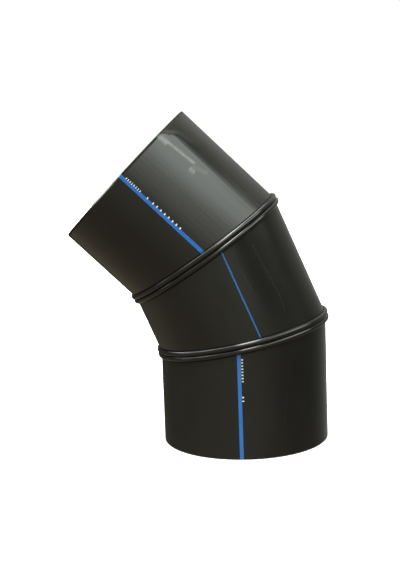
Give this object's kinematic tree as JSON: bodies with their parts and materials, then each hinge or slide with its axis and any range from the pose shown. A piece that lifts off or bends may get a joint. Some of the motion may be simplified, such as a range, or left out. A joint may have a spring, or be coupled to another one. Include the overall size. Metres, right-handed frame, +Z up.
{
  "type": "fabricated pipe elbow",
  "caption": "Mitred plastic pressure pipe elbow that turns a line through forty-five degrees, with fused seams and plain spigot ends.",
  "frame": {"origin": "centre of the lower free end's face", "axes": "+Z up the lower leg's axis, the elbow bends towards -X, and its front is -Y"},
  "size_m": [0.487, 0.3272, 0.6247],
  "materials": {
    "black_pe": "satin black polyethylene pipe skin, finely scuffed along its length",
    "blue_pe": "satin blue polyethylene, flush with the pipe's skin"
  },
  "bodies": {
    "root": {"lower_leg": "black_pe", "lower_leg_stripe_1": "blue_pe", "lower_leg_stripe_2": "blue_pe", "lower_leg_stripe_3": "blue_pe", "middle_segment": "black_pe", "middle_segment_stripe_1": "blue_pe", "middle_segment_stripe_2": "blue_pe", "middle_segment_stripe_3": "blue_pe", "upper_leg": "black_pe", "upper_leg_stripe_1": "blue_pe", "upper_leg_stripe_2": "blue_pe", "upper_leg_stripe_3": "blue_pe"}
  },
  "joints": []
}
